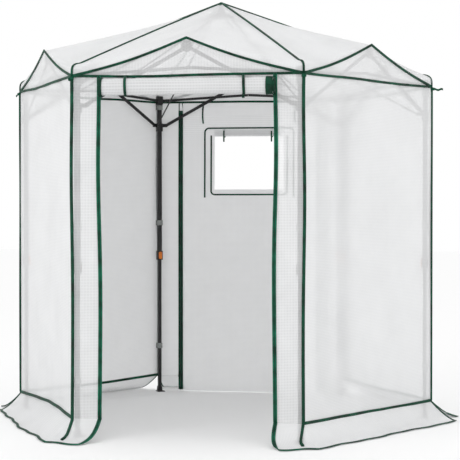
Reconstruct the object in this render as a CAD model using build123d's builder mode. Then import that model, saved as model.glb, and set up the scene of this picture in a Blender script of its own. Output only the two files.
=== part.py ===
from build123d import *
from math import acos, cos, degrees, hypot, radians, sin
import os

# A hexagonal pop-up greenhouse: a folding frame of six telescopic legs, joined round the eaves by
# scissor bars and to a crown hub by roof rods, under a fabric cover with a door in the front and back.
# The frame stands on the floor at z = 0 and its axis is the z axis. The front door faces -Y.
# Leg 1 is at the front left, and the legs are numbered anticlockwise seen from above.
# Face k is the side between leg k and leg k + 1, so face 1 is the front and face 4 the back.

os.makedirs("parts", exist_ok=True)

# Cover
WALL_RADIUS = 1155.0  # centre of the house to a corner of the fabric wall
EAVE_HEIGHT = 1800.0
KNEE_HEIGHT = 1845.0  # where the hips turn down over the leg tops
GABLE_HEIGHT = 1980.0
APEX_HEIGHT = 2280.0
FABRIC = 2.0
SEAM_HEIGHT = 95.0  # where the ground skirt is sewn to the wall
SKIRT_FLARE = 165.0  # how far the skirt stands out on the ground
SEAM_GAP = 1.0
PANEL_INSET = 2.0
DOOR_WIDTH = 880.0
HEADER_HEIGHT = 80.0
WINDOW_WIDTH = 432.0
WINDOW_BOTTOM = 1257.0
WINDOW_TOP = 1585.0
ROLL_HEIGHT = 84.0
ROLL_DEPTH = 56.0
ROLL_CENTRE_HEIGHT = 1740.0
ZIP_SIDE = 430.0
ZIP_START = 140.0

# Legs
WALL_CLEARANCE = 30.0  # leg axis to the outside of the wall beside it
LEG_RADIUS = WALL_RADIUS - WALL_CLEARANCE / cos(radians(30))
TUBE = 25.0
TUBE_BORE = 22.0
TUBE_CORNER = 3.0
INNER_TUBE = 20.0
INNER_TUBE_BORE = 17.0
INNER_TUBE_CORNER = 2.5
HOUSING_BOTTOM = 820.0
HOUSING_HEIGHT = 55.0
HOUSING_SIZE = 34.0
HOUSING_CORNER = 4.0
BUTTON_SLOT_WIDTH = 22.0
BUTTON_SLOT_DEPTH = 8.0
BUTTON_HEIGHT = 44.0
BUTTON_WIDTH = 20.0
BUTTON_TRAVEL = 3.0
BUTTON_LENGTH = 7.0
BRACKET_TOP = 1836.0
BRACKET_HEIGHT = 52.0
BRACKET_SIZE = 38.0
BRACKET_CORNER = 5.0
CAP_THICKNESS = 4.0
CAP_TAPER = 30.0
GRIP = 0.5  # how far a moulding bites into the tube it is pressed onto, all round
INNER_TUBE_TOP = 970.0
FOOT_LENGTH = 60.0
FOOT_WIDTH = 46.0
FOOT_CORNER = 6.0
FOOT_REACH = 15.0  # leg axis to the outer end of the plate, which stays inside the wall's corner
FOOT_THICKNESS = 4.0
SOCKET_SIZE = 30.0
SOCKET_HEIGHT = 28.0
SOCKET_TAPER = 4.0
SLIDER_SIZE = 36.0
SLIDER_HEIGHT = 48.0
SLIDING_GAP = 0.4

# Scissor bars: the upper bars start at the brackets and the lower bars at the sliders
PIVOT_REACH = 38.0  # leg axis to the first pivot of a bar
UPPER_PIVOT_HEIGHT = 1808.0
LOWER_PIVOT_HEIGHT = 1655.0
UPPER_MEETING_HEIGHT = 1837.0
LOWER_MEETING_HEIGHT = 1940.0
UPPER_BAR_WIDTH = 15.0
LOWER_BAR_WIDTH = 18.0
BAR_THICKNESS = 6.0
UPPER_PLANES = {"left": -13.5, "right": -4.5}  # distance of each bar's plane outside the leg axes
LOWER_PLANES = {"left": 4.5, "right": 13.5}
LUG_THICKNESS = 4.0
LUG_CORNER = 4.0
UPPER_LUG_LENGTH = 34.0
UPPER_LUG_WIDTH = 19.0
UPPER_LUG_SHIFT = 4.0  # pivot to the middle of the lug, towards the leg
LOWER_LUG_LENGTH = 36.0
LOWER_LUG_WIDTH = 21.0
LOWER_LUG_SHIFT = 7.0
PIN_RADIUS = 3.0
PIN_CLEARANCE = 0.1
RIVET_HEAD = 5.5
RIVET_HEIGHT = 2.0
BAR_GAP = 0.5
HUB_PLATE_RADIUS = 29.0
HUB_PLATE_THICKNESS = 4.0

# Crown hub and roof rods
ROD_SIDE = 26.0  # the rods run beside the legs, this far round the hexagon from them
ROD_RADIUS = 4.0
ROD_EYE_RADIUS = 7.0
ROD_EYE_THICKNESS = 9.0
ROD_PIN_RADIUS = 2.0
CROWN_PIVOT_RADIUS = 55.0
CROWN_HEIGHT = 2200.0
CROWN_RADIUS = 44.0
CROWN_THICKNESS = 24.0
DOME_RADIUS = 30.0
DOME_HEIGHT = 44.0
DOME_TAPER = 25.0
ROD_END_INSET = 45.0  # leg axis to the outer end of a rod
ROD_LUG_LENGTH = 34.0
ROD_LUG_HEIGHT = 16.0
SLIDER_ARM_THICKNESS = 5.0
SLIDER_ARM_GAP = 1.5
SLIDER_ARM_OVERLAP = 3.0

# Zip slider
ZIP_BODY = (9.0, 14.0, 4.0)
ZIP_TAB = (26.0, 7.0, 2.0)
ZIP_TAB_DROP = 12.0

SIDES = 6
DOOR_FACES = (1, 4)
half_face = LEG_RADIUS / 2
half_span = half_face - PIVOT_REACH
wall_offset = WALL_CLEARANCE - FABRIC
wall_apothem = WALL_RADIUS * cos(radians(30))
half_wall = WALL_RADIUS / 2 - PANEL_INSET
gripped_tube = TUBE - 2 * GRIP


def leg_angle(k):
    return 180 + 60 * k


def leg_plane(k, height=0.0):
    """Level plane on the axis of leg k: local x points away from the centre of the house."""
    out = radians(leg_angle(k))
    origin = (LEG_RADIUS * cos(out), LEG_RADIUS * sin(out), height)
    return Plane(origin=origin, x_dir=(cos(out), sin(out), 0), z_dir=(0, 0, 1))


def face_plane(k, offset=0.0):
    """Upright plane of face k: local x runs from leg k to leg k + 1, y is up and z points out."""
    start = radians(leg_angle(k))
    out = radians(leg_angle(k) + 30)
    along = (-sin(out), cos(out), 0)
    origin = (LEG_RADIUS * cos(start), LEG_RADIUS * sin(start), 0)
    return Plane(origin=origin, x_dir=along, z_dir=(cos(out), sin(out), 0)).offset(offset)


def lug_places(k, planes, height, left_side, right_side):
    """For leg k, each lug's face plane, pivot, direction to the leg, bar plane and side of the bar."""
    left = (face_plane(k), (PIVOT_REACH, height), -1, planes["left"], left_side)
    right = (face_plane(k - 1), (LEG_RADIUS - PIVOT_REACH, height), 1, planes["right"], right_side)
    return [left, right]


# Upper legs: a square tube with the corner bracket on top and the lock housing at its foot
for k in range(1, SIDES + 1):
    with BuildPart() as upper_leg:
        with BuildSketch(leg_plane(k, HOUSING_BOTTOM)):
            RectangleRounded(TUBE, TUBE, TUBE_CORNER)
            RectangleRounded(TUBE_BORE, TUBE_BORE, TUBE_CORNER / 2, mode=Mode.SUBTRACT)
        extrude(amount=BRACKET_TOP - CAP_THICKNESS - HOUSING_BOTTOM)
        with BuildSketch(leg_plane(k, BRACKET_TOP - BRACKET_HEIGHT)):
            RectangleRounded(BRACKET_SIZE, BRACKET_SIZE, BRACKET_CORNER)
            RectangleRounded(gripped_tube, gripped_tube, TUBE_CORNER - 1, mode=Mode.SUBTRACT)
        extrude(amount=BRACKET_HEIGHT - CAP_THICKNESS)
        with BuildSketch(leg_plane(k, BRACKET_TOP - CAP_THICKNESS)):
            RectangleRounded(BRACKET_SIZE, BRACKET_SIZE, BRACKET_CORNER)
        extrude(amount=CAP_THICKNESS, taper=CAP_TAPER)
        with BuildSketch(leg_plane(k, HOUSING_BOTTOM)):
            RectangleRounded(HOUSING_SIZE, HOUSING_SIZE, HOUSING_CORNER)
            RectangleRounded(gripped_tube, gripped_tube, TUBE_CORNER - 1, mode=Mode.SUBTRACT)
            with Locations((-TUBE / 2 - 1, 0)):
                Rectangle(BUTTON_SLOT_DEPTH, BUTTON_SLOT_WIDTH, mode=Mode.SUBTRACT)
        extrude(amount=HOUSING_HEIGHT)
        for plane, pivot, inwards, bar, side in lug_places(k, UPPER_PLANES, UPPER_PIVOT_HEIGHT, 1, 1):
            lug = bar + side * (BAR_THICKNESS / 2 + BAR_GAP + LUG_THICKNESS / 2)
            with BuildSketch(plane.offset(lug - LUG_THICKNESS / 2)):
                with Locations((pivot[0] + inwards * UPPER_LUG_SHIFT, pivot[1])):
                    RectangleRounded(UPPER_LUG_LENGTH, UPPER_LUG_WIDTH, LUG_CORNER)
            extrude(amount=LUG_THICKNESS)
            with BuildSketch(plane.offset(lug)):
                with Locations(pivot):
                    Circle(PIN_RADIUS)
            extrude(amount=-side * (LUG_THICKNESS / 2 + BAR_THICKNESS + 2 * BAR_GAP))
            head = bar - side * (BAR_THICKNESS / 2 + BAR_GAP)
            with BuildSketch(plane.offset(head)):
                with Locations(pivot):
                    Circle(RIVET_HEAD)
            extrude(amount=-side * RIVET_HEIGHT)
    upper_leg.part.label = f"upper_leg_{k}"
    export_step(upper_leg.part, f"parts/upper_leg_{k}.step")

# Lower legs: a smaller tube that slides up inside the upper leg, with its foot plate
for k in range(1, SIDES + 1):
    with BuildPart() as lower_leg:
        with BuildSketch(leg_plane(k)):
            with Locations((FOOT_REACH - FOOT_LENGTH / 2, 0)):
                RectangleRounded(FOOT_LENGTH, FOOT_WIDTH, FOOT_CORNER)
        extrude(amount=FOOT_THICKNESS)
        with BuildSketch(leg_plane(k, FOOT_THICKNESS)):
            RectangleRounded(SOCKET_SIZE, SOCKET_SIZE, HOUSING_CORNER)
        extrude(amount=SOCKET_HEIGHT, taper=SOCKET_TAPER)
        with BuildSketch(leg_plane(k, FOOT_THICKNESS + SOCKET_HEIGHT)):
            RectangleRounded(INNER_TUBE, INNER_TUBE, INNER_TUBE_CORNER)
            bore_corner = INNER_TUBE_CORNER - (INNER_TUBE - INNER_TUBE_BORE) / 2
            RectangleRounded(INNER_TUBE_BORE, INNER_TUBE_BORE, bore_corner, mode=Mode.SUBTRACT)
        extrude(amount=INNER_TUBE_TOP - FOOT_THICKNESS - SOCKET_HEIGHT)
    lower_leg.part.label = f"lower_leg_{k}"
    export_step(lower_leg.part, f"parts/lower_leg_{k}.step")

# Lock buttons: spring buttons in the inner side of each housing that hold the lower leg out
for k in range(1, SIDES + 1):
    with BuildPart() as lock_button:
        housing = leg_plane(k, HOUSING_BOTTOM + HOUSING_HEIGHT / 2)
        inwards = -housing.x_dir
        button_start = housing.origin + inwards * (TUBE / 2 + BUTTON_TRAVEL + BAR_GAP)
        with BuildSketch(Plane(origin=button_start, x_dir=(0, 0, 1), z_dir=inwards)):
            RectangleRounded(BUTTON_HEIGHT, BUTTON_WIDTH, BUTTON_WIDTH / 3)
        extrude(amount=BUTTON_LENGTH)
    lock_button.part.label = f"lock_button_{k}"
    export_step(lock_button.part, f"parts/lock_button_{k}.step")

# Sliders: the runners on the upper legs that carry the lower scissor bars
arm_side = ROD_SIDE - ROD_EYE_THICKNESS / 2 - SLIDER_ARM_GAP - SLIDER_ARM_THICKNESS / 2
for k in range(1, SIDES + 1):
    with BuildPart() as slider:
        slider_bottom = LOWER_PIVOT_HEIGHT - SLIDER_HEIGHT * 0.75
        with BuildSketch(leg_plane(k, slider_bottom)):
            RectangleRounded(SLIDER_SIZE, SLIDER_SIZE, BRACKET_CORNER)
            bore = TUBE + 2 * SLIDING_GAP
            RectangleRounded(bore, bore, TUBE_CORNER, mode=Mode.SUBTRACT)
        extrude(amount=SLIDER_HEIGHT)
        with BuildSketch(leg_plane(k, LOWER_PIVOT_HEIGHT - ROD_LUG_HEIGHT / 2)):
            arm_middle = SLIDER_ARM_OVERLAP - (SLIDER_SIZE + ROD_LUG_LENGTH) / 2
            with Locations((arm_middle, arm_side)):
                Rectangle(ROD_LUG_LENGTH, SLIDER_ARM_THICKNESS)
            with Locations((2 - SLIDER_SIZE / 2, arm_side - SLIDER_ARM_OVERLAP)):
                Rectangle(SLIDER_ARM_THICKNESS, SLIDER_ARM_THICKNESS)
        extrude(amount=ROD_LUG_HEIGHT)
        for plane, pivot, inwards, bar, side in lug_places(k, LOWER_PLANES, LOWER_PIVOT_HEIGHT, 1, -1):
            lug = bar + side * (BAR_THICKNESS / 2 + BAR_GAP + LUG_THICKNESS / 2)
            with BuildSketch(plane.offset(lug - LUG_THICKNESS / 2)):
                with Locations((pivot[0] + inwards * LOWER_LUG_SHIFT, pivot[1])):
                    RectangleRounded(LOWER_LUG_LENGTH, LOWER_LUG_WIDTH, LUG_CORNER)
            extrude(amount=LUG_THICKNESS)
            with BuildSketch(plane.offset(lug)):
                with Locations(pivot):
                    Circle(PIN_RADIUS)
            extrude(amount=-side * (LUG_THICKNESS / 2 + BAR_THICKNESS + 2 * BAR_GAP))
            head = bar - side * (BAR_THICKNESS / 2 + BAR_GAP)
            with BuildSketch(plane.offset(head)):
                with Locations(pivot):
                    Circle(RIVET_HEAD)
            extrude(amount=-side * RIVET_HEIGHT)
    slider.part.label = f"slider_{k}"
    export_step(slider.part, f"parts/slider_{k}.step")

# Scissor bars: in each face two upper and two lower bars, each in its own plane
bar_kinds = [
    ("upper_bar", UPPER_PLANES, UPPER_PIVOT_HEIGHT, UPPER_MEETING_HEIGHT, UPPER_BAR_WIDTH),
    ("lower_bar", LOWER_PLANES, LOWER_PIVOT_HEIGHT, LOWER_MEETING_HEIGHT, LOWER_BAR_WIDTH),
]
for name, planes, low, high, width in bar_kinds:
    length = hypot(half_span, high - low)
    tilt = degrees(acos(half_span / length))
    for k in range(1, SIDES + 1):
        for hand, start, way in (("left", PIVOT_REACH, 1), ("right", LEG_RADIUS - PIVOT_REACH, -1)):
            back_face = face_plane(k, planes[hand] - BAR_THICKNESS / 2)
            middle = (start + way * half_span / 2, (low + high) / 2)
            with BuildPart() as bar:
                with BuildSketch(back_face):
                    with Locations(middle):
                        SlotCenterToCenter(length, width, rotation=way * tilt)
                    with Locations((start, low)):
                        Circle(PIN_RADIUS + PIN_CLEARANCE, mode=Mode.SUBTRACT)
                    with Locations((half_face, high)):
                        Circle(PIN_RADIUS, mode=Mode.SUBTRACT)
                extrude(amount=BAR_THICKNESS)
                if name == "lower_bar" and hand == "right":
                    with BuildSketch(back_face.offset(BAR_THICKNESS)):
                        with Locations((half_face, high)):
                            Circle(HUB_PLATE_RADIUS)
                    extrude(amount=HUB_PLATE_THICKNESS)
            bar.part.label = f"{name}_{hand}_{k}"
            export_step(bar.part, f"parts/{name}_{hand}_{k}.step")

# Roof rods: from the crown hub down to the inside of each slider
rod_run = LEG_RADIUS - ROD_END_INSET - CROWN_PIVOT_RADIUS
rod_drop = CROWN_HEIGHT - LOWER_PIVOT_HEIGHT
rod_length = hypot(rod_run, rod_drop)
for k in range(1, SIDES + 1):
    out = radians(leg_angle(k))
    outwards = Vector(cos(out), sin(out), 0)
    around = Vector(-sin(out), cos(out), 0)
    inner_end = outwards * CROWN_PIVOT_RADIUS + around * ROD_SIDE + Vector(0, 0, CROWN_HEIGHT)
    slope = (outwards * rod_run - Vector(0, 0, rod_drop)).normalized()
    side_plane = Plane(origin=inner_end, x_dir=slope, z_dir=around)
    with BuildPart() as roof_rod:
        with BuildSketch(Plane(origin=inner_end, x_dir=around, z_dir=slope)):
            Circle(ROD_RADIUS)
        extrude(amount=rod_length)
        with BuildSketch(side_plane.offset(-ROD_EYE_THICKNESS / 2)):
            with Locations((0, 0), (rod_length, 0)):
                Circle(ROD_EYE_RADIUS)
        extrude(amount=ROD_EYE_THICKNESS)
        with BuildSketch(side_plane.offset(-ROD_EYE_THICKNESS / 2)):
            with Locations((0, 0), (rod_length, 0)):
                Circle(ROD_PIN_RADIUS + PIN_CLEARANCE)
        extrude(amount=ROD_EYE_THICKNESS, mode=Mode.SUBTRACT)
    roof_rod.part.label = f"roof_rod_{k}"
    export_step(roof_rod.part, f"parts/roof_rod_{k}.step")

# Crown hub: a disc with a lug and a pin for each rod, and a dome that holds up the peak of the roof
with BuildPart() as crown_hub:
    with BuildSketch(Plane.XY.offset(CROWN_HEIGHT - CROWN_THICKNESS / 2)):
        Circle(CROWN_RADIUS)
    extrude(amount=CROWN_THICKNESS)
    with BuildSketch(Plane.XY.offset(CROWN_HEIGHT + CROWN_THICKNESS / 2)):
        Circle(DOME_RADIUS)
    extrude(amount=DOME_HEIGHT, taper=DOME_TAPER)
    lug_side = ROD_SIDE - ROD_EYE_THICKNESS / 2 - BAR_GAP - LUG_THICKNESS / 2
    for k in range(1, SIDES + 1):
        out = leg_angle(k)
        hub_frame = Plane.XY.offset(CROWN_HEIGHT - ROD_LUG_HEIGHT / 2).rotated((0, 0, out))
        with BuildSketch(hub_frame):
            with Locations(((CROWN_RADIUS + CROWN_PIVOT_RADIUS) / 2, lug_side)):
                Rectangle(ROD_LUG_LENGTH, LUG_THICKNESS)
        extrude(amount=ROD_LUG_HEIGHT)
        around = Vector(-sin(radians(out)), cos(radians(out)), 0)
        pin_start = Vector(cos(radians(out)), sin(radians(out)), 0) * CROWN_PIVOT_RADIUS
        pin_start = pin_start + around * lug_side + Vector(0, 0, CROWN_HEIGHT)
        with BuildSketch(Plane(origin=pin_start, x_dir=(0, 0, 1), z_dir=around)):
            Circle(ROD_PIN_RADIUS)
        extrude(amount=LUG_THICKNESS / 2 + 2 * BAR_GAP + ROD_EYE_THICKNESS + RIVET_HEIGHT)
crown_hub.part.label = "crown_hub"
export_step(crown_hub.part, "parts/crown_hub.step")

# Roof cover: a flat panel on each side of every ridge, and a gable over each wall
with BuildPart() as roof_cover:
    apex = Vector(0, 0, APEX_HEIGHT)
    for k in range(1, SIDES + 1):
        middle = radians(leg_angle(k) + 30)
        peak = Vector(wall_apothem * cos(middle), wall_apothem * sin(middle), GABLE_HEIGHT)
        for corner, side in ((radians(leg_angle(k)), 1), (radians(leg_angle(k) + 60), -1)):
            knee = Vector(WALL_RADIUS * cos(corner), WALL_RADIUS * sin(corner), KNEE_HEIGHT)
            upwards = (knee - apex).cross(peak - apex) * side
            panel = Plane(origin=apex, x_dir=knee - apex, z_dir=upwards)
            outline = [panel.to_local_coords(point) for point in (apex, knee, peak)]
            with BuildSketch(panel):
                with BuildLine():
                    Polyline([(point.X, point.Y) for point in outline], close=True)
                make_face()
                offset(amount=-SEAM_GAP, kind=Kind.INTERSECTION)
            extrude(amount=-FABRIC)
        with BuildSketch(face_plane(k, wall_offset)):
            with BuildLine():
                Polyline(
                    (half_face - half_wall, EAVE_HEIGHT + SEAM_GAP),
                    (half_face + half_wall, EAVE_HEIGHT + SEAM_GAP),
                    (half_face + half_wall, KNEE_HEIGHT - 2 * FABRIC),
                    (half_face, GABLE_HEIGHT - 2 * FABRIC),
                    (half_face - half_wall, KNEE_HEIGHT - 2 * FABRIC),
                    close=True,
                )
            make_face()
        extrude(amount=FABRIC)
roof_cover.part.label = "roof_cover"
export_step(roof_cover.part, "parts/roof_cover.step")

# Side walls: a flat panel for each plain face, two strips and a header beside and over each door,
# and under every panel and strip a ground skirt that slopes out to the floor
strip_width = half_wall - DOOR_WIDTH / 2
strip_centre = (half_wall + DOOR_WIDTH / 2) / 2
with BuildPart() as side_walls:
    for k in range(1, SIDES + 1):
        if k in DOOR_FACES:
            panels = [(half_face - strip_centre, strip_width), (half_face + strip_centre, strip_width)]
        else:
            panels = [(half_face, 2 * half_wall)]
        wall_height = EAVE_HEIGHT - SEAM_GAP - SEAM_HEIGHT
        for centre, width in panels:
            with BuildSketch(face_plane(k, wall_offset)):
                with Locations((centre, SEAM_HEIGHT + wall_height / 2)):
                    Rectangle(width, wall_height)
            extrude(amount=FABRIC)
            face = face_plane(k)
            profile = Plane(
                origin=face.from_local_coords((centre + width / 2, 0, wall_offset)),
                x_dir=face.z_dir,
                z_dir=-face.x_dir,
            )
            with BuildSketch(profile):
                with BuildLine():
                    Polyline(
                        (0, SEAM_HEIGHT - SEAM_GAP),
                        (FABRIC, SEAM_HEIGHT - SEAM_GAP),
                        (SKIRT_FLARE + 3 * FABRIC, 0),
                        (SKIRT_FLARE, 0),
                        close=True,
                    )
                make_face()
            extrude(amount=width)
        if k in DOOR_FACES:
            with BuildSketch(face_plane(k, wall_offset)):
                with Locations((half_face, EAVE_HEIGHT - SEAM_GAP - HEADER_HEIGHT / 2)):
                    Rectangle(DOOR_WIDTH - 2 * SEAM_GAP, HEADER_HEIGHT)
            extrude(amount=FABRIC)
side_walls.part.label = "side_walls"
export_step(side_walls.part, "parts/side_walls.step")

# Front door: the film door rolled up and tied under the eave, clear of the doorway
with BuildPart() as door_roll:
    roll_start = face_plane(1).from_local_coords((half_face - DOOR_WIDTH / 2, ROLL_CENTRE_HEIGHT, 0))
    roll_out = WALL_CLEARANCE + SEAM_GAP + ROLL_DEPTH / 2
    along = face_plane(1).x_dir
    with BuildSketch(Plane(origin=roll_start + face_plane(1).z_dir * roll_out, x_dir=(0, 0, 1), z_dir=along)):
        Ellipse(ROLL_HEIGHT / 2, ROLL_DEPTH / 2)
    extrude(amount=DOOR_WIDTH)
door_roll.part.label = "door_roll"
export_step(door_roll.part, "parts/door_roll.step")

# Back door: hangs closed in the back doorway, with its window open
with BuildPart() as back_door:
    door_height = EAVE_HEIGHT - HEADER_HEIGHT - 2 * SEAM_GAP
    with BuildSketch(face_plane(4, wall_offset)):
        with Locations((half_face, door_height / 2)):
            Rectangle(DOOR_WIDTH - 2 * PANEL_INSET, door_height)
        with Locations((half_face, (WINDOW_TOP + WINDOW_BOTTOM) / 2)):
            Rectangle(WINDOW_WIDTH, WINDOW_TOP - WINDOW_BOTTOM, mode=Mode.SUBTRACT)
    extrude(amount=FABRIC)
back_door.part.label = "back_door"
export_step(back_door.part, "parts/back_door.step")

# Zip slider: runs up the zip at one edge of the back door, on its outside, and carries a pull tab
with BuildPart() as zip_slider:
    with BuildSketch(face_plane(4, WALL_CLEARANCE + BAR_GAP)):
        with Locations((half_face + ZIP_SIDE, ZIP_START)):
            RectangleRounded(ZIP_BODY[0], ZIP_BODY[1], ZIP_TAB[2])
    extrude(amount=ZIP_BODY[2])
    with BuildSketch(face_plane(4, WALL_CLEARANCE + BAR_GAP + ZIP_BODY[2])):
        with Locations((half_face + ZIP_SIDE, ZIP_START - ZIP_TAB_DROP)):
            SlotCenterToCenter(ZIP_TAB[0], ZIP_TAB[1], rotation=90)
    extrude(amount=ZIP_TAB[2])
zip_slider.part.label = "zip_slider"
export_step(zip_slider.part, "parts/zip_slider.step")
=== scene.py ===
# %% [markdown]
# # A folding hexagonal greenhouse
# The house is a black folding frame with a loose cover of woven see-through film. The frame comes in
# as a fixed model, with every leg, bar and slider in its place. What is made here is the cover, with
# its green binding, doors and window, and the finish of every surface.

# %% Load the frame
import math
import bmesh
import bpy
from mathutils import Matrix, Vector


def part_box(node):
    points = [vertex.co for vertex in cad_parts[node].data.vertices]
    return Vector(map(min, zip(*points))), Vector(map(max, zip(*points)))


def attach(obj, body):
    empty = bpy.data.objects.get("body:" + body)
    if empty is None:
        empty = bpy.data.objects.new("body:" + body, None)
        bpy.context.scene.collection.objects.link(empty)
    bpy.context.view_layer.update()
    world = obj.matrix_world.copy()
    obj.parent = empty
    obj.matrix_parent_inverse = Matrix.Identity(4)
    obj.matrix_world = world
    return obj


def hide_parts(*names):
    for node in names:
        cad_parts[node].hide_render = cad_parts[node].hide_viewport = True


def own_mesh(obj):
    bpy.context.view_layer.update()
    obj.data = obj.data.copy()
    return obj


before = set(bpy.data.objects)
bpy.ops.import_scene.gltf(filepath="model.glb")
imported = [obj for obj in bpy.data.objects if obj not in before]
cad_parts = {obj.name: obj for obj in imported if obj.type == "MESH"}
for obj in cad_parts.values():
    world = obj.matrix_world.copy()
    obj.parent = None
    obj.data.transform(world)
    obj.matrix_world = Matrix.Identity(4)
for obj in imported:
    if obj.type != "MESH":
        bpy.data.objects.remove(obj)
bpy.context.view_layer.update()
print("frame loaded:", len(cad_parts), "nodes")

# %% [markdown]
# Everything on this house repeats round six corners, so a few directions describe it all. Leg k and
# corner k share an angle, and face k runs from corner k to the next. Working the places out from
# these keeps the cover in step with the frame, which a list of typed points wouldn't.

# %% Sizes and directions
wall_radius = round(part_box("roof_cover")[1].x + 0.001, 3)
wall_width = wall_radius
wall_apothem = wall_radius * math.cos(math.radians(30))
leg_inset = 0.030
leg_radius = wall_radius - leg_inset / math.cos(math.radians(30))
eave = 1.80
gable = 1.98
apex = 2.277
seam = 0.095
flare = 0.165
door_width = 0.88
strip = (wall_width - door_width) / 2
faces = range(1, 7)


def level(angle):
    """Unit vector on the floor plan at an angle in degrees."""
    return Vector((math.cos(math.radians(angle)), math.sin(math.radians(angle)), 0))


def corner_way(k):
    """From the centre to leg k."""
    return level(180 + 60 * k)


def beside(k):
    """Square to the way to leg k, on the side of face k."""
    return level(270 + 60 * k)


def outwards(k):
    """Out of face k."""
    return level(210 + 60 * k)


def along(k):
    """From corner k to the next corner, in the plane of face k."""
    return level(300 + 60 * k)


def wall_point(k, across, height, depth=0.0):
    """A point of face k: across from corner k, height above the floor, depth out of the wall."""
    return corner_way(k) * wall_radius + along(k) * across + outwards(k) * depth + Vector((0, 0, height))


def ease(x):
    """0 below 0, 1 above 1 and a smooth slope between."""
    x = min(max(x, 0.0), 1.0)
    return x * x * (3 - 2 * x)


print("wall width", wall_width, "apothem", round(wall_apothem, 3))

# %% [markdown]
# The camera stands where a person would to see the front door and a little of the right-hand side,
# with a long lens, so that upright edges stay upright. It is set before the modelling, because then
# each new piece can be judged as it is added.

# %% Camera
camera_turn = math.radians(9.88)
camera_distance = 8.534
camera_height = 1.163
camera_aside = 0.0056
camera_dip = 0.0165
camera_data = bpy.data.cameras.new("camera")
camera_data.lens = 120.4
camera_data.sensor_width = 36
camera_data.clip_end = 100
camera = bpy.data.objects.new("camera", camera_data)
bpy.context.scene.collection.objects.link(camera)
camera.location = (
    camera_distance * math.sin(camera_turn),
    -camera_distance * math.cos(camera_turn),
    camera_height,
)
sight_turn = camera_turn - camera_aside
sight = Vector((-math.sin(sight_turn), math.cos(sight_turn), -camera_dip))
camera.rotation_euler = sight.to_track_quat("-Z", "Y").to_euler()
bpy.context.scene.camera = camera
print("camera at", tuple(round(c, 2) for c in camera.location))

# %% [markdown]
# A studio for a pale translucent thing needs light from all round: a white world does most of the
# work and passes through the film, and two large soft lamps give the folds a bright and a dark side.
# The floor is plain and nearly white, so that only a faint shadow shows where the cover meets it.

# %% Floor and lights
world = bpy.data.worlds.new("studio")
world.use_nodes = True
world.node_tree.nodes["Background"].inputs["Color"].default_value = (1, 1, 1, 1)
world.node_tree.nodes["Background"].inputs["Strength"].default_value = 1.0
bpy.context.scene.world = world
bpy.context.scene.view_settings.view_transform = "Standard"

floor_half = 30
floor_mesh = bpy.data.meshes.new("floor")
floor_bm = bmesh.new()
bmesh.ops.create_grid(floor_bm, x_segments=1, y_segments=1, size=floor_half)
floor_bm.to_mesh(floor_mesh)
floor_bm.free()
floor = bpy.data.objects.new("floor", floor_mesh)
bpy.context.scene.collection.objects.link(floor)
floor_paint = bpy.data.materials.new("pale_floor")
floor_paint.use_nodes = True
floor_shader = floor_paint.node_tree.nodes["Principled BSDF"]
floor_shader.inputs["Base Color"].default_value = (0.97, 0.97, 0.97, 1)
floor_shader.inputs["Roughness"].default_value = 0.9
floor_mesh.materials.append(floor_paint)

lamp_target = Vector((0, 0, 1))
# name, place, watts, width
lamps = (("key_lamp", (-3.5, -5.0, 5.0), 50, 3.5), ("side_lamp", (5.0, -2.0, 3.5), 14, 3.0))
for lamp_name, lamp_place, lamp_power, lamp_size in lamps:
    lamp_data = bpy.data.lights.new(lamp_name, "AREA")
    lamp_data.energy = lamp_power
    lamp_data.size = lamp_size
    lamp = bpy.data.objects.new(lamp_name, lamp_data)
    lamp.location = lamp_place
    lamp.rotation_euler = (lamp_target - lamp.location).to_track_quat("-Z", "Y").to_euler()
    bpy.context.scene.collection.objects.link(lamp)
print("studio ready")

# %% [markdown]
# Most finishes here share a start: a Principled shader fed by noise for slow changes of colour, and a fine
# bump. One helper makes that start, and each finish then adds what is its own. Patterns that don't follow a
# surface read Object coordinates, which stay put on the piece when it moves.

# %% A helper for finishes
rough_spread = 0.08
grain_finer = 14


def finish_of(name, dark, light, roughness, scale, bump):
    """A material whose colour drifts between two shades, with a fine bumpy grain."""
    paint = bpy.data.materials.new(name)
    paint.use_nodes = True
    nodes, links = paint.node_tree.nodes, paint.node_tree.links
    shader = nodes["Principled BSDF"]
    place = nodes.new("ShaderNodeTexCoord")
    noise = nodes.new("ShaderNodeTexNoise")
    noise.inputs["Scale"].default_value = scale
    noise.inputs["Detail"].default_value = 5
    links.new(place.outputs["Object"], noise.inputs["Vector"])
    shades = nodes.new("ShaderNodeValToRGB")
    shades.color_ramp.elements[0].position = 0.35
    shades.color_ramp.elements[0].color = (*dark, 1)
    shades.color_ramp.elements[1].position = 0.7
    shades.color_ramp.elements[1].color = (*light, 1)
    links.new(noise.outputs["Fac"], shades.inputs["Fac"])
    links.new(shades.outputs["Color"], shader.inputs["Base Color"])
    rough = nodes.new("ShaderNodeMapRange")
    rough.inputs["To Min"].default_value = roughness - rough_spread
    rough.inputs["To Max"].default_value = roughness + rough_spread
    links.new(noise.outputs["Fac"], rough.inputs["Value"])
    links.new(rough.outputs["Result"], shader.inputs["Roughness"])
    grain = nodes.new("ShaderNodeTexNoise")
    grain.inputs["Scale"].default_value = scale * grain_finer
    links.new(place.outputs["Object"], grain.inputs["Vector"])
    relief = nodes.new("ShaderNodeBump")
    relief.inputs["Strength"].default_value = bump
    relief.inputs["Distance"].default_value = 0.0006
    links.new(grain.outputs["Fac"], relief.inputs["Height"])
    links.new(relief.outputs["Normal"], shader.inputs["Normal"])
    return paint


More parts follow.
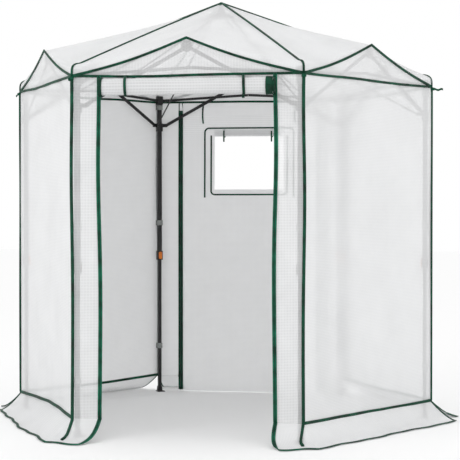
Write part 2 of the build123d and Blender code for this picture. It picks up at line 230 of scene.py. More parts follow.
black_powder = finish_of(
    "black_powder_coat", (0.004, 0.004, 0.005), (0.012, 0.012, 0.013), roughness=0.42, scale=30, bump=0.25
)
black_plastic = finish_of(
    "black_moulded_plastic", (0.005, 0.005, 0.006), (0.014, 0.014, 0.015), roughness=0.5, scale=45, bump=0.3
)
orange_plastic = finish_of(
    "orange_plastic", (0.75, 0.17, 0.02), (0.9, 0.26, 0.03), roughness=0.35, scale=80, bump=0.1
)
grey_webbing = finish_of(
    "grey_hook_tape", (0.2, 0.21, 0.2), (0.36, 0.38, 0.37), roughness=0.85, scale=220, bump=0.8
)
print("plain finishes made")

# %% [markdown]
# The binding is a folded polyester tape. Up close it is a plain weave, so two crossed waves drive its
# bump, one band of each wave for each thread. The tape follows a path, so its pattern reads a UV map
# laid out in metres along and across the tape.

# %% Green binding tape
bands_per_unit = 3.1831
tape_thread = 0.0016


def wave_of(nodes, links, source, axis, thread, sharp=1.0):
    """Bands along one axis of a UV map in metres, one per thread; a higher sharp makes them thinner."""
    wave = nodes.new("ShaderNodeTexWave")
    wave.bands_direction = axis
    wave.inputs["Scale"].default_value = 1 / (thread * bands_per_unit)
    wave.inputs["Distortion"].default_value = 0
    links.new(source, wave.inputs["Vector"])
    power = nodes.new("ShaderNodeMath")
    power.operation = "POWER"
    power.inputs[1].default_value = sharp
    links.new(wave.outputs["Fac"], power.inputs[0])
    return power.outputs[0]


def tape_finish(name, dark, light):
    """Woven tape: a drifting green with the weave of its threads as a bump."""
    paint = finish_of(name, dark, light, roughness=0.55, scale=14, bump=0.2)
    nodes, links = paint.node_tree.nodes, paint.node_tree.links
    shader = nodes["Principled BSDF"]
    shader.inputs["Specular IOR Level"].default_value = 0.2
    uv = nodes.new("ShaderNodeUVMap")
    warp = wave_of(nodes, links, uv.outputs["UV"], "X", tape_thread)
    weft = wave_of(nodes, links, uv.outputs["UV"], "Y", tape_thread)
    weave = nodes.new("ShaderNodeMath")
    weave.operation = "MAXIMUM"
    links.new(warp, weave.inputs[0])
    links.new(weft, weave.inputs[1])
    relief = nodes.new("ShaderNodeBump")
    relief.inputs["Strength"].default_value = 0.5
    relief.inputs["Distance"].default_value = 0.0005
    links.new(weave.outputs[0], relief.inputs["Height"])
    links.new(relief.outputs["Normal"], shader.inputs["Normal"])
    return paint


green_tape = tape_finish("green_binding", (0.001, 0.020, 0.010), (0.002, 0.085, 0.042))
# A lighter copy of the binding, as painted light: it stands in for the glow through the film onto the front
# doorway's binding.
painted_glow_tape = tape_finish("green_binding_painted_glow", (0.002, 0.050, 0.026), (0.008, 0.20, 0.11))
print("tapes made")

# %% [markdown]
# The film is clear plastic with a mesh of white threads sealed in it. A real mesh of threads would
# be millions of faces, so the mesh is drawn by the shader: bands along both ways of the UV map make
# the threads whiter and less see-through than the film between them. Noise adds the milky patches.

# %% Woven film
film_thread = 0.0075
film_shade = (0.86, 0.865, 0.87)


def film_finish(name, clear, milky):
    """See-through film whose opacity goes from clear between threads to milky on them."""
    paint = bpy.data.materials.new(name)
    paint.use_nodes = True
    nodes, links = paint.node_tree.nodes, paint.node_tree.links
    shader = nodes["Principled BSDF"]
    shader.inputs["Roughness"].default_value = 0.6
    shader.inputs["IOR"].default_value = 1.02
    shader.inputs["Transmission Weight"].default_value = 0.22
    uv = nodes.new("ShaderNodeUVMap")
    warp = wave_of(nodes, links, uv.outputs["UV"], "X", film_thread, sharp=4.0)
    weft = wave_of(nodes, links, uv.outputs["UV"], "Y", film_thread, sharp=4.0)
    threads = nodes.new("ShaderNodeMath")
    threads.operation = "MAXIMUM"
    links.new(warp, threads.inputs[0])
    links.new(weft, threads.inputs[1])
    cloud = nodes.new("ShaderNodeTexNoise")
    cloud.inputs["Scale"].default_value = 3.5
    cloud.inputs["Detail"].default_value = 6
    links.new(uv.outputs["UV"], cloud.inputs["Vector"])
    blend = nodes.new("ShaderNodeMath")
    blend.operation = "MULTIPLY_ADD"
    blend.inputs[1].default_value = 0.55
    links.new(threads.outputs[0], blend.inputs[0])
    links.new(cloud.outputs["Fac"], blend.inputs[2])
    cover = nodes.new("ShaderNodeMapRange")
    cover.inputs["From Min"].default_value = 0.3
    cover.inputs["From Max"].default_value = 1.2
    cover.inputs["To Min"].default_value = clear
    cover.inputs["To Max"].default_value = milky
    links.new(blend.outputs[0], cover.inputs["Value"])
    links.new(cover.outputs["Result"], shader.inputs["Alpha"])
    tint = nodes.new("ShaderNodeValToRGB")
    tint.color_ramp.elements[0].color = (*[c * 0.93 for c in film_shade], 1)
    tint.color_ramp.elements[1].color = (*[min(1.0, c * 1.04) for c in film_shade], 1)
    links.new(blend.outputs[0], tint.inputs["Fac"])
    links.new(tint.outputs["Color"], shader.inputs["Base Color"])
    relief = nodes.new("ShaderNodeBump")
    relief.inputs["Strength"].default_value = 0.25
    relief.inputs["Distance"].default_value = 0.0006
    links.new(threads.outputs[0], relief.inputs["Height"])
    links.new(relief.outputs["Normal"], shader.inputs["Normal"])
    return paint


wall_film = film_finish("wall_film", clear=0.88, milky=0.985)
clear_film = film_finish("door_strip_film", clear=0.60, milky=0.92)
roof_film = film_finish("roof_film", clear=0.88, milky=0.98)
roll_film = film_finish("rolled_film", clear=0.72, milky=0.97)
print("films made")

# %% [markdown]
# A cover is sewn from flat sheets, so one helper makes them all. It starts from a bmesh grid, which
# already has tidy rows of square faces, and moves each point to its place on the cover by a formula.
# The UV map is laid out in metres at the same time, so the threads have one size everywhere.

# %% A helper for sheets


def new_object(name, bm, paint):
    """Keeps a bmesh as a smooth object at the origin."""
    mesh = bpy.data.meshes.new(name)
    bm.to_mesh(mesh)
    bm.free()
    made = bpy.data.objects.new(name, mesh)
    bpy.context.scene.collection.objects.link(made)
    mesh.materials.append(paint)
    for face in mesh.polygons:
        face.use_smooth = True
    return made


def sheet_grid(name, columns, rows, size, place, paint):
    """A sheet of columns by rows; place(u, v) gives each point, with u and v from 0 to 1."""
    bm = bmesh.new()
    bmesh.ops.create_grid(bm, x_segments=columns, y_segments=rows, size=0.5)
    uv = bm.loops.layers.uv.new("UVMap")
    for face in bm.faces:
        for loop in face.loops:
            spot = loop.vert.co
            loop[uv].uv = ((spot.x + 0.5) * size[0], (spot.y + 0.5) * size[1])
    for vert in bm.verts:
        vert.co = place(vert.co.x + 0.5, vert.co.y + 0.5)
    return new_object(name, bm, paint)


def tape(name, path, side, paint, width, thick, steps):
    """A tape of one width along path(t), with t from 0 to 1, whose width lies along side(t)."""
    length = sum((path((i + 1) / steps) - path(i / steps)).length for i in range(steps))

    def place(u, v):
        return path(u) + side(u) * (width * (v - 0.5))

    made = sheet_grid(name, steps, 4, (length, width), place, paint)
    shell = made.modifiers.new("thickness", "SOLIDIFY")
    shell.thickness = thick
    shell.offset = 0
    return made


def steady(way):
    """The side of a tape that lies the same way all along."""

    def side(t):
        return way

    return side


# %% [markdown]
# When the frame folds, the legs move in and the walls gather between them. A real wall crumples into pleats;
# here each wall only rides on one leg.


def gather(piece, k, leg=None):
    """The piece of face k rides on one of its two legs."""
    leg = leg or k
    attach(piece, f"leg_{leg}")
    anchor = corner_way(leg) * wall_radius
    tuple(along(k))
    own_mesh(piece)
    return piece


def draw_in(piece, way):
    """A roof piece rides with the cover, under the peak."""
    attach(piece, "cover")
    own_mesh(piece)
    return piece


def next_leg(k):
    return k % 6 + 1


# %% [markdown]
# A film wall hangs from the eave and is tied to the legs, so it isn't flat: it bows in a little
# between the legs, and shallow upright folds run down from where it is pulled. A few sine waves of
# different lengths, a different set for each face, give folds that don't repeat.

# %% Plain walls
wall_bow = 0.016
wall_ripple = 0.0022
wall_crease = 0.0016


def fold_depth(k, across, height):
    """How far the film stands out of its plane, in metres; never far enough to meet the bars."""
    side = math.sin(math.pi * min(max(across / wall_width, 0), 1))
    low = 1 - ease((height - 1.1) / 0.6)
    bow = -wall_bow * side * low
    ripple = wall_ripple * math.sin(23 * across + 1.7 * k + 1.1 * math.sin(2.3 * height + k))
    crease = wall_crease * math.sin(9 * across - 5.0 * height + 2.1 * k)
    return bow + (ripple + crease) * side


def wall_sheet(name, k, first, last, bottom, top, paint, columns, rows, leg=None):
    """An upright piece of the cover between two distances across face k and two heights."""

    def place(u, v):
        across = first + (last - first) * u
        height = bottom + (top - bottom) * v
        return wall_point(k, across, height, fold_depth(k, across, height))

    made = sheet_grid(name, columns, rows, (last - first, top - bottom), place, paint)
    return gather(made, k, leg)


side_faces = (2, 3, 5, 6)
for k in side_faces:
    wall_sheet(f"wall_{k}", k, 0, wall_width, seam, eave, wall_film, 60, 70)
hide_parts("side_walls")

# %% [markdown]
# Beside each door a narrow strip of the same cover carries the zip, and over it a header closes the
# wall up to the eave. Each strip follows the leg it is tied to.

# %% Strips and headers
header_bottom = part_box("back_door")[1].z
for k in (1, 4):
    film = clear_film if k == 1 else wall_film
    wall_sheet(f"strip_{k}_first", k, 0, strip, seam, eave, film, 12, 70)
    wall_sheet(f"strip_{k}_last", k, wall_width - strip, wall_width, seam, eave, film, 12, 70, next_leg(k))
    wall_sheet(f"header_{k}", k, strip, wall_width - strip, header_bottom, eave, film, 40, 5)
print("strips and headers made")

# %% [markdown]
# The ground skirt is a strip sewn along the foot of the wall and spread outwards, to be weighed down
# with soil or stones. It falls in a hollow curve and its outer edge wanders a little. At the two
# front corners the skirt runs on round the corner, and at the others it is slit.

# %% Ground skirts
mitre = flare * math.tan(math.radians(30))
doorway_spread = 0.05
skirt_hollow = 1.55
skirt_lift = 0.0025
pulled_in = 0.045
spread_out = 0.055


def skirt_point(k, across, out_share, front=False):
    """A point of the skirt of face k, with out_share 0 at the seam and 1 at the outer edge.

    The skirt of face 6 is pulled in at its first end, and the front one is spread beside the door.
    """
    wander = 0.007 * math.sin(11 * across + 2 * k) + 0.004 * math.sin(29 * across + k)
    reach = flare + wander * out_share
    if k == 6:
        reach -= pulled_in * (1 - ease(across / 0.7))
    if front:
        from_corner = min(across, wall_width - across)
        reach += spread_out * ease((from_corner + 0.05) / 0.12)
    depth = reach * out_share + fold_depth(k, across, seam) * (1 - out_share)
    height = seam * (1 - out_share) ** skirt_hollow + skirt_lift
    return wall_point(k, across, height, depth)


def skirt_sheet(name, k, edges, front=False, leg=None):
    """A skirt between edges(out_share), which gives its two ends across the face."""

    def place(u, v):
        first, last = edges(1 - v)
        return skirt_point(k, first + (last - first) * u, 1 - v, front)

    width = edges(0.5)[1] - edges(0.5)[0]
    made = sheet_grid(name, 48, 14, (width, 0.195), place, wall_film)
    return gather(made, k, leg)


def side_edges(k):
    """Ends of a side skirt: mitred at a front corner, straight at a slit one."""
    at_first = mitre if k == 2 else 0.0
    at_last = mitre if k == 6 else 0.0

    def edges(out_share):
        return (-at_first * out_share, wall_width + at_last * out_share)

    return edges


def left_strip_edges(out_share):
    return (-mitre * out_share, strip - doorway_spread * out_share ** 3)


def right_strip_edges(out_share):
    return (wall_width - strip + doorway_spread * out_share ** 3, wall_width + mitre * out_share)


def back_first_edges(out_share):
    return (0.0, strip)


def back_last_edges(out_share):
    return (wall_width - strip, wall_width)


# name, face, its ends, whether it is slit at the first and at the last end, the leg it follows
skirts = [(str(k), k, side_edges(k), k != 2, k != 6, k) for k in side_faces]
skirts.append(("4_first", 4, back_first_edges, True, True, 4))
skirts.append(("4_last", 4, back_last_edges, True, True, 5))
for name, k, edges, slit_first, slit_last, leg in skirts:
    skirt_sheet(f"skirt_{name}", k, edges, leg=leg)
skirt_sheet("skirt_1_left", 1, left_strip_edges, front=True)
skirt_sheet("skirt_1_right", 1, right_strip_edges, front=True, leg=2)
print("skirts made")

# %% [markdown]
# The roof is pulled tight between the peak, the six hips over the leg tops and the six ridges that
# end in gables. Each half of a face is one curved sheet: its rows run from hip to ridge, and near
# the corner the hip turns down over the top of the leg, as the real one does over the bracket.

# %% Roof panels
knee_row = 0.8
knee_share = 0.955
knee_height = 1.864
panel_pattern = (wall_radius, 0.58)
hip_rise = 0.004
ridge_sag = 0.024
panel_sag = 0.016


def past_knee(u):
    """0 where the hip starts to turn down over the leg and 1 at the eave."""
    return (u - knee_row) / (1 - knee_row)


def roof_share(u):
    """Row u of the roof as a share of the way out, with close rows over the leg top."""
    if u < knee_row:
        return knee_share * u / knee_row
    return knee_share + (1 - knee_share) * math.sin(math.pi / 2 * past_knee(u))


def hip(k, u):
    """The hip over leg k, from the peak at 0 to the eave at 1."""
    share = roof_share(u)
    if u < knee_row:
        run = u / knee_row
        height = apex + (knee_height - apex) * run + hip_rise * math.sin(math.pi * run)
    else:
        drop = max(0.0, math.cos(math.pi / 2 * past_knee(u))) ** 0.45
        height = eave + (knee_height - eave) * drop
    return corner_way(k) * (wall_radius * share) + Vector((0, 0, height))


def ridge(k, u):
    """The ridge over face k, from the peak at 0 to the gable at 1."""
    share = roof_share(u)
    height = apex + (gable - apex) * share - ridge_sag * math.sin(math.pi * share ** 0.6)
    return outwards(k) * (wall_apothem * share) + Vector((0, 0, height))


def roof_point(k, u, v):
    """A point of face k's roof: v is 0 at the first hip, 0.5 at the ridge and 1 at the next hip."""
    turn = 1 - abs(2 * v - 1)
    edge = hip(k, u) if v < 0.5 else hip(next_leg(k), u)
    point = edge.lerp(ridge(k, u), turn)
    sag = panel_sag * math.sin(math.pi * turn) * u ** 2
    wrinkle = 0.0012 * math.sin(31 * u + 4 * v + k) * math.sin(math.pi * turn)
    return point - Vector((0, 0, sag + wrinkle))


for k in faces:
    for half, name in ((0, "first"), (1, "last")):

        def place(u, v, k=k, half=half):
            return roof_point(k, u, (v + half) / 2)

        panel = sheet_grid(f"roof_{k}_{name}", 46, 16, panel_pattern, place, roof_film)
        draw_in(panel, level(195 + 60 * k + 30 * half))
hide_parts("roof_cover")

# %% [markdown]
# A gable closes the triangle between the eave and the two slopes. It is sewn to the slopes, so its
# top edge has to be the same curve as theirs, and it reads that curve from the roof's own formula.

# %% Gables
gable_flat = (wall_width, gable - eave)


def gable_top(k, u):
    """Height of the gable's upper edge at a share u of the way across."""
    return roof_point(k, 1.0, u).z


for k in faces:

    def place(u, v, k=k):
        height = eave + (gable_top(k, u) - eave + 0.0006) * v
        hollow = 0.004 * math.sin(math.pi * u) * math.sin(math.pi * v)
        return wall_point(k, wall_width * u, height, -hollow)

    film = clear_film if k == 1 else wall_film
    made = sheet_grid(f"gable_{k}", 48, 10, gable_flat, place, film)
    gather(made, k)
print("gables made")

# %% [markdown]
# Every cut edge and seam of the cover is bound in green tape. One tape helper makes them all, so here
# each tape only needs its path and the direction that it lies in. Tapes wander by a few millimetres,
# because they are sewn by hand-guided machine and then pulled by the frame.

# %% Tapes of the roof and eaves
upright = steady(Vector((0, 0, 1)))


def sway(t, k, size):
    """A few millimetres of wandering along a tape, none at its ends."""
    return size * math.sin(math.pi * t) * math.sin(5.3 * t + 2.4 * k + 1.5 * math.sin(3 * t))


for k in faces:

    def hip_path(t, k=k):
        return hip(k, t) + Vector((0, 0, 0.003)) + corner_way(k) * (0.003 * ease(past_knee(t)))

    made = tape(f"hip_tape_{k}", hip_path, steady(beside(k)), green_tape, width=0.010, thick=0.006, steps=60)
    draw_in(made, corner_way(k))

    def gable_path(t, k=k):
        return wall_point(k, wall_width * t, gable_top(k, t) + 0.001, 0.003)

    made = tape(f"gable_tape_{k}", gable_path, upright, green_tape, width=0.013, thick=0.004, steps=80)
    gather(made, k)

    def eave_path(t, k=k):
        height = eave + sway(t, k, 0.004) - 0.004 * math.sin(math.pi * t)
        return wall_point(k, wall_width * t, height, 0.001)

    made = tape(f"eave_tape_{k}", eave_path, upright, green_tape, width=0.012, thick=0.009, steps=60)
    gather(made, k)
print("roof tapes made")

# %% [markdown]
# Where the six hip tapes meet, a small round patch of tape covers their ends. It is a disc from
# bmesh with a centre point, cut into rings so that it can be rounded over by moving each ring down.

# %% Patch on the peak
patch_radius = 0.022
patch_lift = 0.006
patch_drop = 0.016
patch_bm = bmesh.new()
bmesh.ops.create_circle(patch_bm, cap_ends=True, segments=32, radius=patch_radius)
patch_rim = list(patch_bm.edges)
bmesh.ops.poke(patch_bm, faces=list(patch_bm.faces))
bmesh.ops.subdivide_edges(patch_bm, edges=list(set(patch_bm.edges) - set(patch_rim)), cuts=4)
for vert in patch_bm.verts:
    out = vert.co.xy.length / patch_radius
    vert.co.z = apex + patch_lift - patch_drop * out ** 2
patch = new_object("peak_patch", patch_bm, green_tape)
patch_shell = patch.modifiers.new("thickness", "SOLIDIFY")
patch_shell.thickness = 0.003
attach(patch, "cover")
print("patch made")

# %% [markdown]
# At each corner one tape covers the seam between two walls. At the front corners it runs on down the
# front skirt and stops just short of the ground, with its end turned out.

# %% Corner, seam and skirt tapes
front_corners = (1, 2)
corner_straight = 0.93
corner_skirt = 0.80


def corner_point(k, t):
    """Down the corner seam from the eave at 0 to its lower end at 1."""
    if t < corner_straight or k not in front_corners:
        share = min(t / corner_straight, 1.0)
        height = eave + (seam - eave) * share
        outside = corner_way(k) * (wall_radius + 0.003)
        return outside + beside(k) * sway(share, k, 0.006) + Vector((0, 0, height))
    share = (t - corner_straight) / (1 - corner_straight) * corner_skirt
    outer = -1 if k == 1 else 1
    across = (0 if k == 1 else wall_width) + outer * 0.016 * ease((share - 0.6) / 0.2)
    return skirt_point(1, across, share, True) + Vector((0, 0, 0.003))


for k in faces:

    def corner_path(t, k=k):
        return corner_point(k, t)

    made = tape(
        f"corner_tape_{k}", corner_path, steady(beside(k)), green_tape, width=0.014, thick=0.009, steps=90
    )
    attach(made, f"leg_{k}")

for k in side_faces:

    def seam_path(t, k=k):
        across = wall_width * t
        droop = 0.012 * math.sin(math.pi * t) * (1 + 0.4 * math.sin(7 * t + k))
        lift = 0.020 * math.sin(math.pi * t) if k == 6 else 0.0
        height = seam + 0.006 + lift - droop * 0.4
        return wall_point(k, across, height, fold_depth(k, across, seam) + 0.002)

    made = tape(f"seam_tape_{k}", seam_path, upright, green_tape, width=0.014, thick=0.010, steps=60)
    gather(made, k)

for name, k, edges, slit_first, slit_last, leg in skirts:

    def hem_path(t, k=k, edges=edges):
        first, last = edges(1.0)
        return skirt_point(k, first + (last - first) * t, 1.0) + Vector((0, 0, 0.003))

    made = tape(
        f"hem_tape_{name}", hem_path, steady(outwards(k)), green_tape, width=0.014, thick=0.003, steps=70
    )
    gather(made, k, leg)
    for end, slit in (("first", slit_first), ("last", slit_last)):
        if not slit:
            continue

        def slit_path(t, k=k, end=end, edges=edges):
            across = edges(t)[0] + 0.003 if end == "first" else edges(t)[1] - 0.003
            return skirt_point(k, across, t) + Vector((0, 0, 0.002))

        slit_name = f"slit_tape_{name}_{end}"
        made = tape(slit_name, slit_path, steady(along(k)), green_tape, width=0.010, thick=0.004, steps=24)
        gather(made, k, leg)
print("corner and skirt tapes made")

# %% [markdown]
# The front door is rolled up from the floor to the eave, so it is a spiral of film, thirteen turns
# deep, with the bound edges of the door stacked into a thick green ring at each end. A spiral sheet
# shows the layers at its ends, where a plain cylinder would give the trick away.

# %% Rolled front door
roll_low, roll_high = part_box("door_roll")
roll_height = (roll_high.z - roll_low.z) / 2
roll_depth = (roll_high.y - roll_low.y) / 2
roll_middle = -(roll_low.y + roll_high.y) / 2 - wall_apothem
roll_level = (roll_low.z + roll_high.z) / 2
roll_turns = 13
roll_outside = 0.97
roll_inside = 0.13


def roll_point(across, turn, size=1.0):
    """A point of the roll: turn counts once round it, size 1 is its outside."""
    angle = 2 * math.pi * turn
    slump = 1 + 0.03 * math.sin(6 * across) + 0.015 * math.sin(19 * across)
    depth = roll_middle + roll_depth * size * slump * math.cos(angle)
    height = roll_level + roll_height * size * slump * math.sin(angle)
    return wall_point(1, across, height, depth)


door_gap = 0.006
roll_first = strip + door_gap
roll_last = wall_width - strip - door_gap
roll_width = roll_last - roll_first


def roll_place(u, v):
    """The spiral starts on top of the roll and works inwards."""
    size = roll_outside + (roll_inside - roll_outside) * v
    return roll_point(roll_first + roll_width * u, 0.25 - roll_turns * v, size)


roll = sheet_grid("front_door_rolled", 36, 300, (roll_width, 1.6), roll_place, roll_film)
gather(roll, 1)
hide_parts("door_roll")


along_front = steady(along(1))


def ring_tape(name, across, size, width, thick):
    """A band of tape once round the roll, at a share of its size."""

    def ring_path(t):
        return roll_point(across, -t, size)

    gather(tape(name, ring_path, along_front, green_tape, width=width, thick=thick, steps=48), 1)


ring_tape("roll_edge_left", roll_first + 0.009, 1.0, width=0.019, thick=0.006)
ring_tape("roll_edge_right", roll_last - 0.018, 1.0, width=0.034, thick=0.007)
ring_tape("roll_edge_right_inner", roll_last + 0.002, 0.74, width=0.016, thick=0.014)

# %% [markdown]
# Two toggle ties hold the roll. Each is sewn into the eave seam, passes round the front of the roll
# and comes up behind it, and the free end of the right-hand one hangs a little below.

# %% Roll ties
tie_size = 1.06
tie_top = 0.22
tie_bottom = -0.34
# name, place across the front, length of the hanging end
for name, across, tail in (("left", 0.273, 0.004), ("right", 0.862, 0.022)):

    def tie_path(t, across=across, tail=tail):
        lean = 0.008 * math.sin(math.pi * t)
        if t < 0.15:
            start = wall_point(1, across, eave - 0.002, 0.006)
            return start.lerp(roll_point(across + lean, tie_top, tie_size), t / 0.15)
        if t < 0.85:
            turn = tie_top + (tie_bottom - tie_top) * (t - 0.15) / 0.7
            return roll_point(across + lean, turn, tie_size)
        bottom = roll_point(across, tie_bottom, tie_size)
        return bottom - Vector((0, 0, tail * (t - 0.85) / 0.15))

    made = tape(f"roll_tie_{name}", tie_path, along_front, green_tape, width=0.013, thick=0.003, steps=48)
    gather(made, 1)
print("ties made")

# %% [markdown]
# The zip tape of the front doorway is bound in green, wider than the other seams. Light from inside shines
# through the film onto it, and that glow is painted into its colour: its finish is a lighter copy of the
# green binding. It runs down the edge of each strip and then follows the strip's rounded lower corner out
# along the hem of the skirt.

# %% Front doorway binding
binding_seam = 0.80
binding_hem = 0.90


def doorway_path_of(side):
    """Path of the binding of one strip, from the eave to the outer corner of its skirt."""
    edges = left_strip_edges if side == "left" else right_strip_edges
    inner, outer = (1, 0) if side == "left" else (0, 1)

    def path(t):
        if t < binding_seam:
            share = t / binding_seam
            height = eave - (eave - seam) * share
            across = edges(0)[inner] + sway(share, inner, 0.007)
            return wall_point(1, across, height, 0.005 + fold_depth(1, across, height))
        if t < binding_hem:
            share = (t - binding_seam) / (binding_hem - binding_seam)
            return skirt_point(1, edges(share)[inner], share, True) + Vector((0, 0, 0.003))
        share = (t - binding_hem) / (1 - binding_hem)
        across = edges(1)[inner] + (edges(1)[outer] - edges(1)[inner]) * share
        return skirt_point(1, across, 1.0, True) + Vector((0, 0, 0.003))

    return path


def doorway_side(t):
    """The tape lies across the strip, and turns to lie along it round the skirt's corner."""
    turn = ease((t - 0.86) / 0.06)
    return (along(1) * (1 - turn) + outwards(1) * turn).normalized()


for side, leg in (("left", 1), ("right", 2)):
    path = doorway_path_of(side)
    binding_name = f"doorway_binding_{side}"
    # The wide binding takes the lighter copy, whose colour is painted light for the glow through the film.
    made = tape(binding_name, path, doorway_side, painted_glow_tape, width=0.020, thick=0.004, steps=160)
    gather(made, 1, leg)
    made = tape(f"doorway_zip_{side}", path, doorway_side, green_tape, width=0.007, thick=0.006, steps=160)
    gather(made, 1, leg)
print("doorway bound")

# %% [markdown]
# The back door is closed. Its window is a real hole in the film, so the sheet is laid out with grid
# lines on the hole's edges and the faces inside are deleted: no cutting, and clean edges to bind.

# %% Back door with its window
door_low, door_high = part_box("back_door")
window_half = 0.216
window_low = 1.257
window_high = 1.585


def door_depth(across, height):
    """The back door hangs with a little less fold than a wall."""
    return fold_depth(4, across, height) * 0.7


def stepped(value, stops):
    """Spreads a share from 0 to 1 over stops of (share, distance)."""
    for (share0, at0), (share1, at1) in zip(stops, stops[1:]):
        if value <= share1:
            return at0 + (at1 - at0) * (value - share0) / (share1 - share0)
    return stops[-1][1]


middle = wall_width / 2
door_half = (door_high.x - door_low.x) / 2
door_bottom = 0.004
door_size = (2 * door_half, door_high.z)
door_columns = (
    (0, middle - door_half),
    (0.25, middle - window_half),
    (0.75, middle + window_half),
    (1, middle + door_half),
)
door_rows = ((0, door_bottom), (0.75, window_low), (0.95, window_high), (1, door_high.z))


def back_door_place(u, v):
    across = stepped(u, door_columns)
    height = stepped(v, door_rows)
    return wall_point(4, across, height, door_depth(across, height))


back_door = sheet_grid("back_door_film", 40, 60, door_size, back_door_place, wall_film)
door_bm = bmesh.new()
door_bm.from_mesh(back_door.data)
hole = []
for face in door_bm.faces:
    spot = face.calc_center_median()
    if window_low < spot.z < window_high and abs(spot.x) < window_half:
        hole.append(face)
bmesh.ops.delete(door_bm, geom=hole, context="FACES")
door_bm.to_mesh(back_door.data)
door_bm.free()
gather(back_door, 4)
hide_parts("back_door")
print("window faces removed:", len(hole))

# %% [markdown]
# A zip is a toothed coil between two tapes. From across a room it is a dark line in a wider band, so
# each zip is a green band with a narrow ribbed strip on top, whose ribs are drawn by its finish.

# %% Back door zips
zip_out = 0.43
zip_bottom = 0.012
zip_top = 1.747
zip_depth = -0.0045
rib_pitch = 0.003
zip_teeth = finish_of(
    "zip_coil", (0.002, 0.02, 0.012), (0.006, 0.05, 0.03), roughness=0.4, scale=40, bump=0.2
)
zip_nodes, zip_links = zip_teeth.node_tree.nodes, zip_teeth.node_tree.links
zip_uv = zip_nodes.new("ShaderNodeUVMap")
zip_ribs = wave_of(zip_nodes, zip_links, zip_uv.outputs["UV"], "X", rib_pitch)
zip_relief = zip_nodes.new("ShaderNodeBump")
zip_relief.inputs["Distance"].default_value = 0.001
zip_links.new(zip_ribs, zip_relief.inputs["Height"])
zip_links.new(zip_relief.outputs["Normal"], zip_nodes["Principled BSDF"].inputs["Normal"])
along_back = steady(along(4))

for side, across, leg in (("left", middle + zip_out, 5), ("right", middle - zip_out, 4)):

    def zip_path(t, across=across):
        height = zip_bottom + (zip_top - zip_bottom) * t
        return wall_point(4, across, height, door_depth(across, height) + zip_depth)

    band_name = f"back_zip_band_{side}"
    made = tape(band_name, zip_path, along_back, green_tape, width=0.028, thick=0.005, steps=60)
    gather(made, 4, leg)
    coil_name = f"back_zip_coil_{side}"
    made = tape(coil_name, zip_path, along_back, zip_teeth, width=0.008, thick=0.010, steps=60)
    gather(made, 4, leg)
    for end, edge in (("first", -0.011), ("last", 0.011)):

        def edge_up(t, across=across, edge=edge):
            return wall_point(4, across + edge, zip_top + 0.05 * t, 0.002)

        end_name = f"back_zip_end_{side}_{end}"
        made = tape(end_name, edge_up, along_back, green_tape, width=0.006, thick=0.004, steps=6)
        gather(made, 4, leg)
print("zips made")

# %% [markdown]
# The window has two bindings. The outer one, open at the bottom, is the edge of the flap that covers
# the window from outside; the inner one, open at the top, frames the hole. The flap itself is rolled
# up over the hole and held by two small ties.

# %% Window bindings
frame_step = 0.004
flap_width = 0.444
flap_level = 1.607
flap_out = 0.022
flap_radius = 0.019
flap_turns = 4
flap_tie_radius = 0.026


def rounded_frame(half, low, high, radius, opens_down):
    """Path of three sides of a rounded frame in the back door."""
    upright_run = high - low - radius
    bend = math.pi / 2 * radius
    level_run = 2 * (half - radius)
    total = 2 * (upright_run + bend) + level_run
    flip = 1 if opens_down else -1
    base = low if opens_down else high
    turn_at = base + flip * upright_run
    far = base + flip * (upright_run + radius)

    def path(t):
        run = t * total
        mirror_side = 1
        if run > total / 2:
            run = total - run
            mirror_side = -1
        if run < upright_run:
            across, height = half, base + flip * run
        elif run < upright_run + bend:
            angle = (run - upright_run) / radius
            across = half - radius + radius * math.cos(angle)
            height = turn_at + flip * radius * math.sin(angle)
        else:
            across, height = half - radius - (run - upright_run - bend), far
        place = middle + mirror_side * across
        return wall_point(4, place, height, door_depth(place, height))

    return path


def frame_side_of(path):
    """Direction across a tape that follows a path in the back door."""

    def side(t):
        step = path(min(t + frame_step, 1)) - path(max(t - frame_step, 0))
        return step.cross(outwards(4)).normalized()

    return side


outer_frame = rounded_frame(half=0.278, low=1.207, high=1.637, radius=0.026, opens_down=True)
inner_frame = rounded_frame(half=0.238, low=1.225, high=1.592, radius=0.022, opens_down=False)
for name, path in (("window_flap_binding", outer_frame), ("window_frame_binding", inner_frame)):
    made = tape(name, path, frame_side_of(path), green_tape, width=0.009, thick=0.007, steps=120)
    gather(made, 4)


def flap_place(u, v):
    across = middle - flap_width / 2 + flap_width * u
    angle = 2 * math.pi * (0.25 - flap_turns * v)
    size = flap_radius * (1 - 0.75 * v) * (1 + 0.06 * math.sin(17 * across))
    height = flap_level + size * math.sin(angle)
    return wall_point(4, across, height, flap_out + size * math.cos(angle))


flap = sheet_grid("window_flap_rolled", 30, 90, (flap_width, 0.3), flap_place, roll_film)
gather(flap, 4)
for name, across in (("first", middle - 0.14), ("last", middle + 0.158)):

    def flap_tie_path(t, across=across):
        angle = 2 * math.pi * min(t / 0.6, 1)
        tail = 0.055 * max(t - 0.6, 0) / 0.4
        height = flap_level + flap_tie_radius * math.sin(angle) - tail
        return wall_point(4, across, height, flap_out - flap_tie_radius * math.cos(angle))

    tie_name = f"window_tie_{name}"
    made = tape(tie_name, flap_tie_path, along_back, green_tape, width=0.009, thick=0.002, steps=36)
    gather(made, 4)
print("window bound")

# %% [markdown]
# Inside, a tie hangs from the eave seam on each side of the back door, ready for when it is rolled
# up. It is narrow webbing that hangs freely, so it swings a little out of true and curls at its end.

# %% Hanging ties
for name, across in (("first", middle - 0.287), ("last", middle + 0.287)):

    def hanging_path(t, across=across):
        aside = across + 0.005 * math.sin(3 * t)
        return wall_point(4, aside, eave - 0.012 - 0.122 * t, -0.003 + 0.002 * math.sin(6 * t))

    tie_name = f"back_tie_{name}"
    made = tape(tie_name, hanging_path, along_back, green_tape, width=0.009, thick=0.002, steps=20)
    gather(made, 4)
print("hanging ties made")

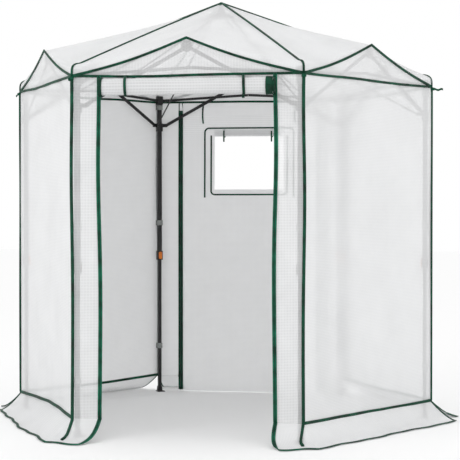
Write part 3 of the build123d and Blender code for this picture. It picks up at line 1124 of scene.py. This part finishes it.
# %% [markdown]
# The cover is held to every leg by short hook-and-loop straps, and its corners by a folded webbing
# tab at the eave. The straps are bands of tape round the square tube, with a free end that sticks out.

# %% Leg straps and corner tabs
strap_loop = 0.8
strap_tail = 0.018
knot_radius = 0.009


def strap_path_of(k, height, half, tail):
    """Round a square tube of a leg and off along its own free end."""
    centre = corner_way(k) * leg_radius

    def path(t):
        angle = 2 * math.pi * min(t / strap_loop, 1.0)
        forth, aside = math.cos(angle), math.sin(angle)
        reach = half / max(abs(forth), abs(aside)) ** 0.8
        point = centre + corner_way(k) * (reach * forth) + beside(k) * (reach * aside)
        if t > strap_loop:
            free = (t - strap_loop) / (1 - strap_loop)
            point = point + beside(k) * (tail * free) + corner_way(k) * 0.002
        return point + Vector((0, 0, height))

    return path


# name, height, half the loop's width, width of the strap
strap_places = (
    ("top", 1.766, 0.0160, 0.030),
    ("middle", 1.050, 0.0160, 0.032),
    ("low", 0.285, 0.0135, 0.032),
)
for k in faces:
    for place, height, half, wide in strap_places:
        wrap = strap_path_of(k, height, half, strap_tail)
        strap_name = f"leg_strap_{place}_{k}"
        made = tape(strap_name, wrap, upright, grey_webbing, width=wide, thick=0.003, steps=48)
        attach(made, f"leg_{k}")

    def tab_path(t, k=k):
        length = 0.066 if k == 3 else 0.030
        droop = 0.010 + 0.006 * math.sin(9 * t + k)
        height = eave - 0.008 - droop * t
        return corner_way(k) * (wall_radius - 0.004 + length * t) + Vector((0, 0, height))

    made = tape(f"corner_tab_{k}", tab_path, upright, green_tape, width=0.011, thick=0.004, steps=20)
    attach(made, f"leg_{k}")

    def knot_path(t, k=k):
        angle = 2 * math.pi * t
        out = wall_radius + 0.006 + knot_radius * math.cos(angle)
        aside = knot_radius * math.sin(angle)
        return corner_way(k) * out + beside(k) * aside + Vector((0, 0, eave - 0.012))

    made = tape(f"corner_knot_{k}", knot_path, upright, green_tape, width=0.013, thick=0.006, steps=24)
    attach(made, f"leg_{k}")
print("straps and tabs made")

# %% [markdown]
# The frame came in with plain paint. Its steel-look tubes get the black powder coat, the moulded hub and
# sliders a softer black, the zip slider the dark green of the zip coil, and the lock buttons their orange.

# %% Finishes of the frame
finish_by_name = (
    (("upper_leg", "lower_leg", "upper_bar", "lower_bar", "roof_rod"), black_powder),
    (("slider", "crown_hub"), black_plastic),
    (("lock_button",), orange_plastic),
    (("zip_slider",), zip_teeth),
)
for node_name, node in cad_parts.items():
    for starts, paint in finish_by_name:
        if node_name.startswith(starts):
            for place in node.material_slots:
                place.material = paint
print("frame finished")
